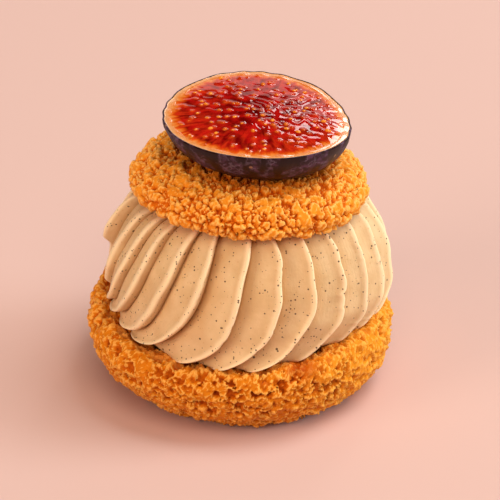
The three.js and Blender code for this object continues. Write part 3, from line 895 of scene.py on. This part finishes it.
bmesh.ops.transform(pulp_shape, matrix=fig_place, verts=pulp_shape.verts)
pulp = linked("fig_pulp_jam", pulp_shape)
pulp.data.shade_smooth()

jam_deep = (0.13, 0.001, 0.001, 1)
jam_red = (0.46, 0.006, 0.004, 1)
thread_colour = (0.58, 0.03, 0.006, 1)
painted_seed_glow = (0.68, 0.09, 0.008, 1)  # painted glow round each seed
jam = Finish(
    "fig_pulp", Roughness=0.4, Specular_IOR_Level=0,
    Coat_Weight=1, Coat_Roughness=0.02, Coat_IOR=1.4,
)
across = jam.attribute("across")
threads = jam.grain(1, 4, jam.attribute("ray", "Vector")).between(0.38, 0.68)
clots = jam.grain(2.6 * mm, 3).between(0.3, 0.7)
jam_tone = clots.blend(jam_deep, jam_red)
jam_tone = (0.8 * threads * across.between(0.3, 0.85)).blend(jam_tone, thread_colour)
# painted glow: the jam is drawn orange round each seed
jam_tone = (0.6 * jam.attribute("glow")).blend(jam_tone, painted_seed_glow)
jam.set(Base_Color=ring_tone(jam, jam_tone, threads))
jam.bump(clots + threads, 0.2 * mm)
pulp.data.materials.append(jam.material)
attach(pulp, "root")
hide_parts("fig_pulp")

# The seeds are small pips, from unripe red to golden. They grow in the pulp and lie half
# sunk in it, all under the same glaze.
pip_unripe = (0.46, 0.03, 0.003, 1)
pip_golden = (0.8, 0.25, 0.022, 1)
seed_shape = bmesh.new()
ripe_layer = seed_shape.verts.layers.float.new("ripe")
for place, turn, size, lift, ripe in seeds:
    length = 0.5 * seed_length * size
    at = Vector((place.x, place.y, pulp_height(place.x, place.y) + (lift - 0.1) * mm))
    form = Matrix.Diagonal((0.72 * length, length, 0.62 * length, 1))
    matrix = Matrix.Translation(fig_form(at)) @ Matrix.Rotation(turn, 4, "Z") @ form
    made = bmesh.ops.create_icosphere(seed_shape, subdivisions=2, radius=1, matrix=matrix)
    for vertex in made["verts"]:
        vertex[ripe_layer] = ripe
bmesh.ops.transform(seed_shape, matrix=fig_place, verts=seed_shape.verts)
pips = linked("fig_seeds", seed_shape)
pips.data.shade_smooth()
pip_finish = Finish(
    "fig_seeds", Roughness=0.4, Specular_IOR_Level=0, Coat_Weight=1, Coat_Roughness=0.06,
)
pip_tone = pip_finish.attribute("ripe") + 0.5 * pip_finish.grain(0.6 * mm, 2) - 0.25
pip_finish.set(Base_Color=pip_tone.between(0, 1).blend(pip_unripe, pip_golden))
pips.data.materials.append(pip_finish.material)
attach(pips, "root")
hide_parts("fig_pulp")

# The floor is a plain pale sheet. A wide lamp high in front, one high on the right, a fill
# at the left and a low lamp at the right light it softly; a faint backdrop and three small
# lamps behind the bun show in the glaze.
floor_shape = bmesh.new()
bmesh.ops.create_grid(floor_shape, x_segments=1, y_segments=1, size=4)
floor = linked("floor", floor_shape)
floor_finish = Finish("pale_floor", Roughness=0.8, Specular_IOR_Level=0.2)
floor_dull = (0.648, 0.425, 0.369, 1)
floor_bright = (0.658, 0.435, 0.379, 1)
floor_finish.set(Base_Color=floor_finish.grain(400 * mm, 1).blend(floor_dull, floor_bright))
floor.data.materials.append(floor_finish.material)

world = bpy.data.worlds.new("studio")
world.use_nodes = True
sky = world.node_tree.nodes["Background"]
sky.inputs["Color"].default_value = (1, 0.76, 0.6, 1)
sky.inputs["Strength"].default_value = 0.215
world.cycles_visibility.glossy = False
bpy.context.scene.world = world
middle = Vector((0, 0, 0.035))
window_white = (1, 0.97, 0.95)


def soft_lamp(name, place, size, power, colour, shows=True):
    """An oval lamp turned to the middle of the bun. One that doesn't show is in no reflection."""
    lamp = bpy.data.lights.new(name, "AREA")
    lamp.shape = "ELLIPSE"
    lamp.size, lamp.size_y = size
    lamp.energy = power
    lamp.color = colour
    stand = bpy.data.objects.new(name, lamp)
    stand.location = place
    stand.rotation_euler = (middle - Vector(place)).to_track_quat("-Z", "Y").to_euler()
    stand.visible_glossy = shows
    bpy.context.scene.collection.objects.link(stand)


soft_lamp("front", (0.36, -1.95, 2.61), (2.25, 2.25), 55, (0.975, 0.8, 0.66), shows=False)
soft_lamp("key", (1.09, 0.08, 2.19), (1.44, 1.44), 34.3, (0.92, 0.98, 1))
soft_lamp("fill", (-1.2, -0.85, 0.5), (0.8, 0.8), 11.3, (1, 0.87, 0.74), shows=False)
soft_lamp("side", (2.2, 0, 0.665), (1.2, 1.2), 38, (0.74, 0.92, 1), shows=False)
soft_lamp("backdrop", (0.45, 1.5, 0.55), (1.6, 0.5), 2, (1, 0.8, 0.74))
soft_lamp("window", (0.27, 0.65, 0.445), (0.15, 0.17), 0.52, window_white)
soft_lamp("strip", (0.11, 0.72, 0.463), (0.1, 0.1), 0.135, window_white)
soft_lamp("glint", (-0.25, 0.66, 0.42), (0.07, 0.07), 0.1, window_white)

# The camera stands in front of the bun and looks down on it.
view_height = math.radians(28)
view_distance = 0.7
view_width = 118.5 * mm  # what the picture takes in at that distance
view_right = 2.6 * mm  # the camera aims a little to the right of the bun's middle
view_down = 1.9 * mm  # and a little below it
back = Vector((0, -math.cos(view_height), math.sin(view_height)))
up = Vector((0, math.sin(view_height), math.cos(view_height)))
aim = middle + Vector((view_right, 0, 0)) - view_down * up
camera_data = bpy.data.cameras.new("camera")
camera_data.lens = camera_data.sensor_width * view_distance / view_width
camera = bpy.data.objects.new("camera", camera_data)
camera.location = aim + view_distance * back
camera.rotation_euler = (-back).to_track_quat("-Z", "Y").to_euler()
bpy.context.scene.collection.objects.link(camera)
bpy.context.scene.camera = camera
bpy.context.scene.view_settings.view_transform = "Standard"
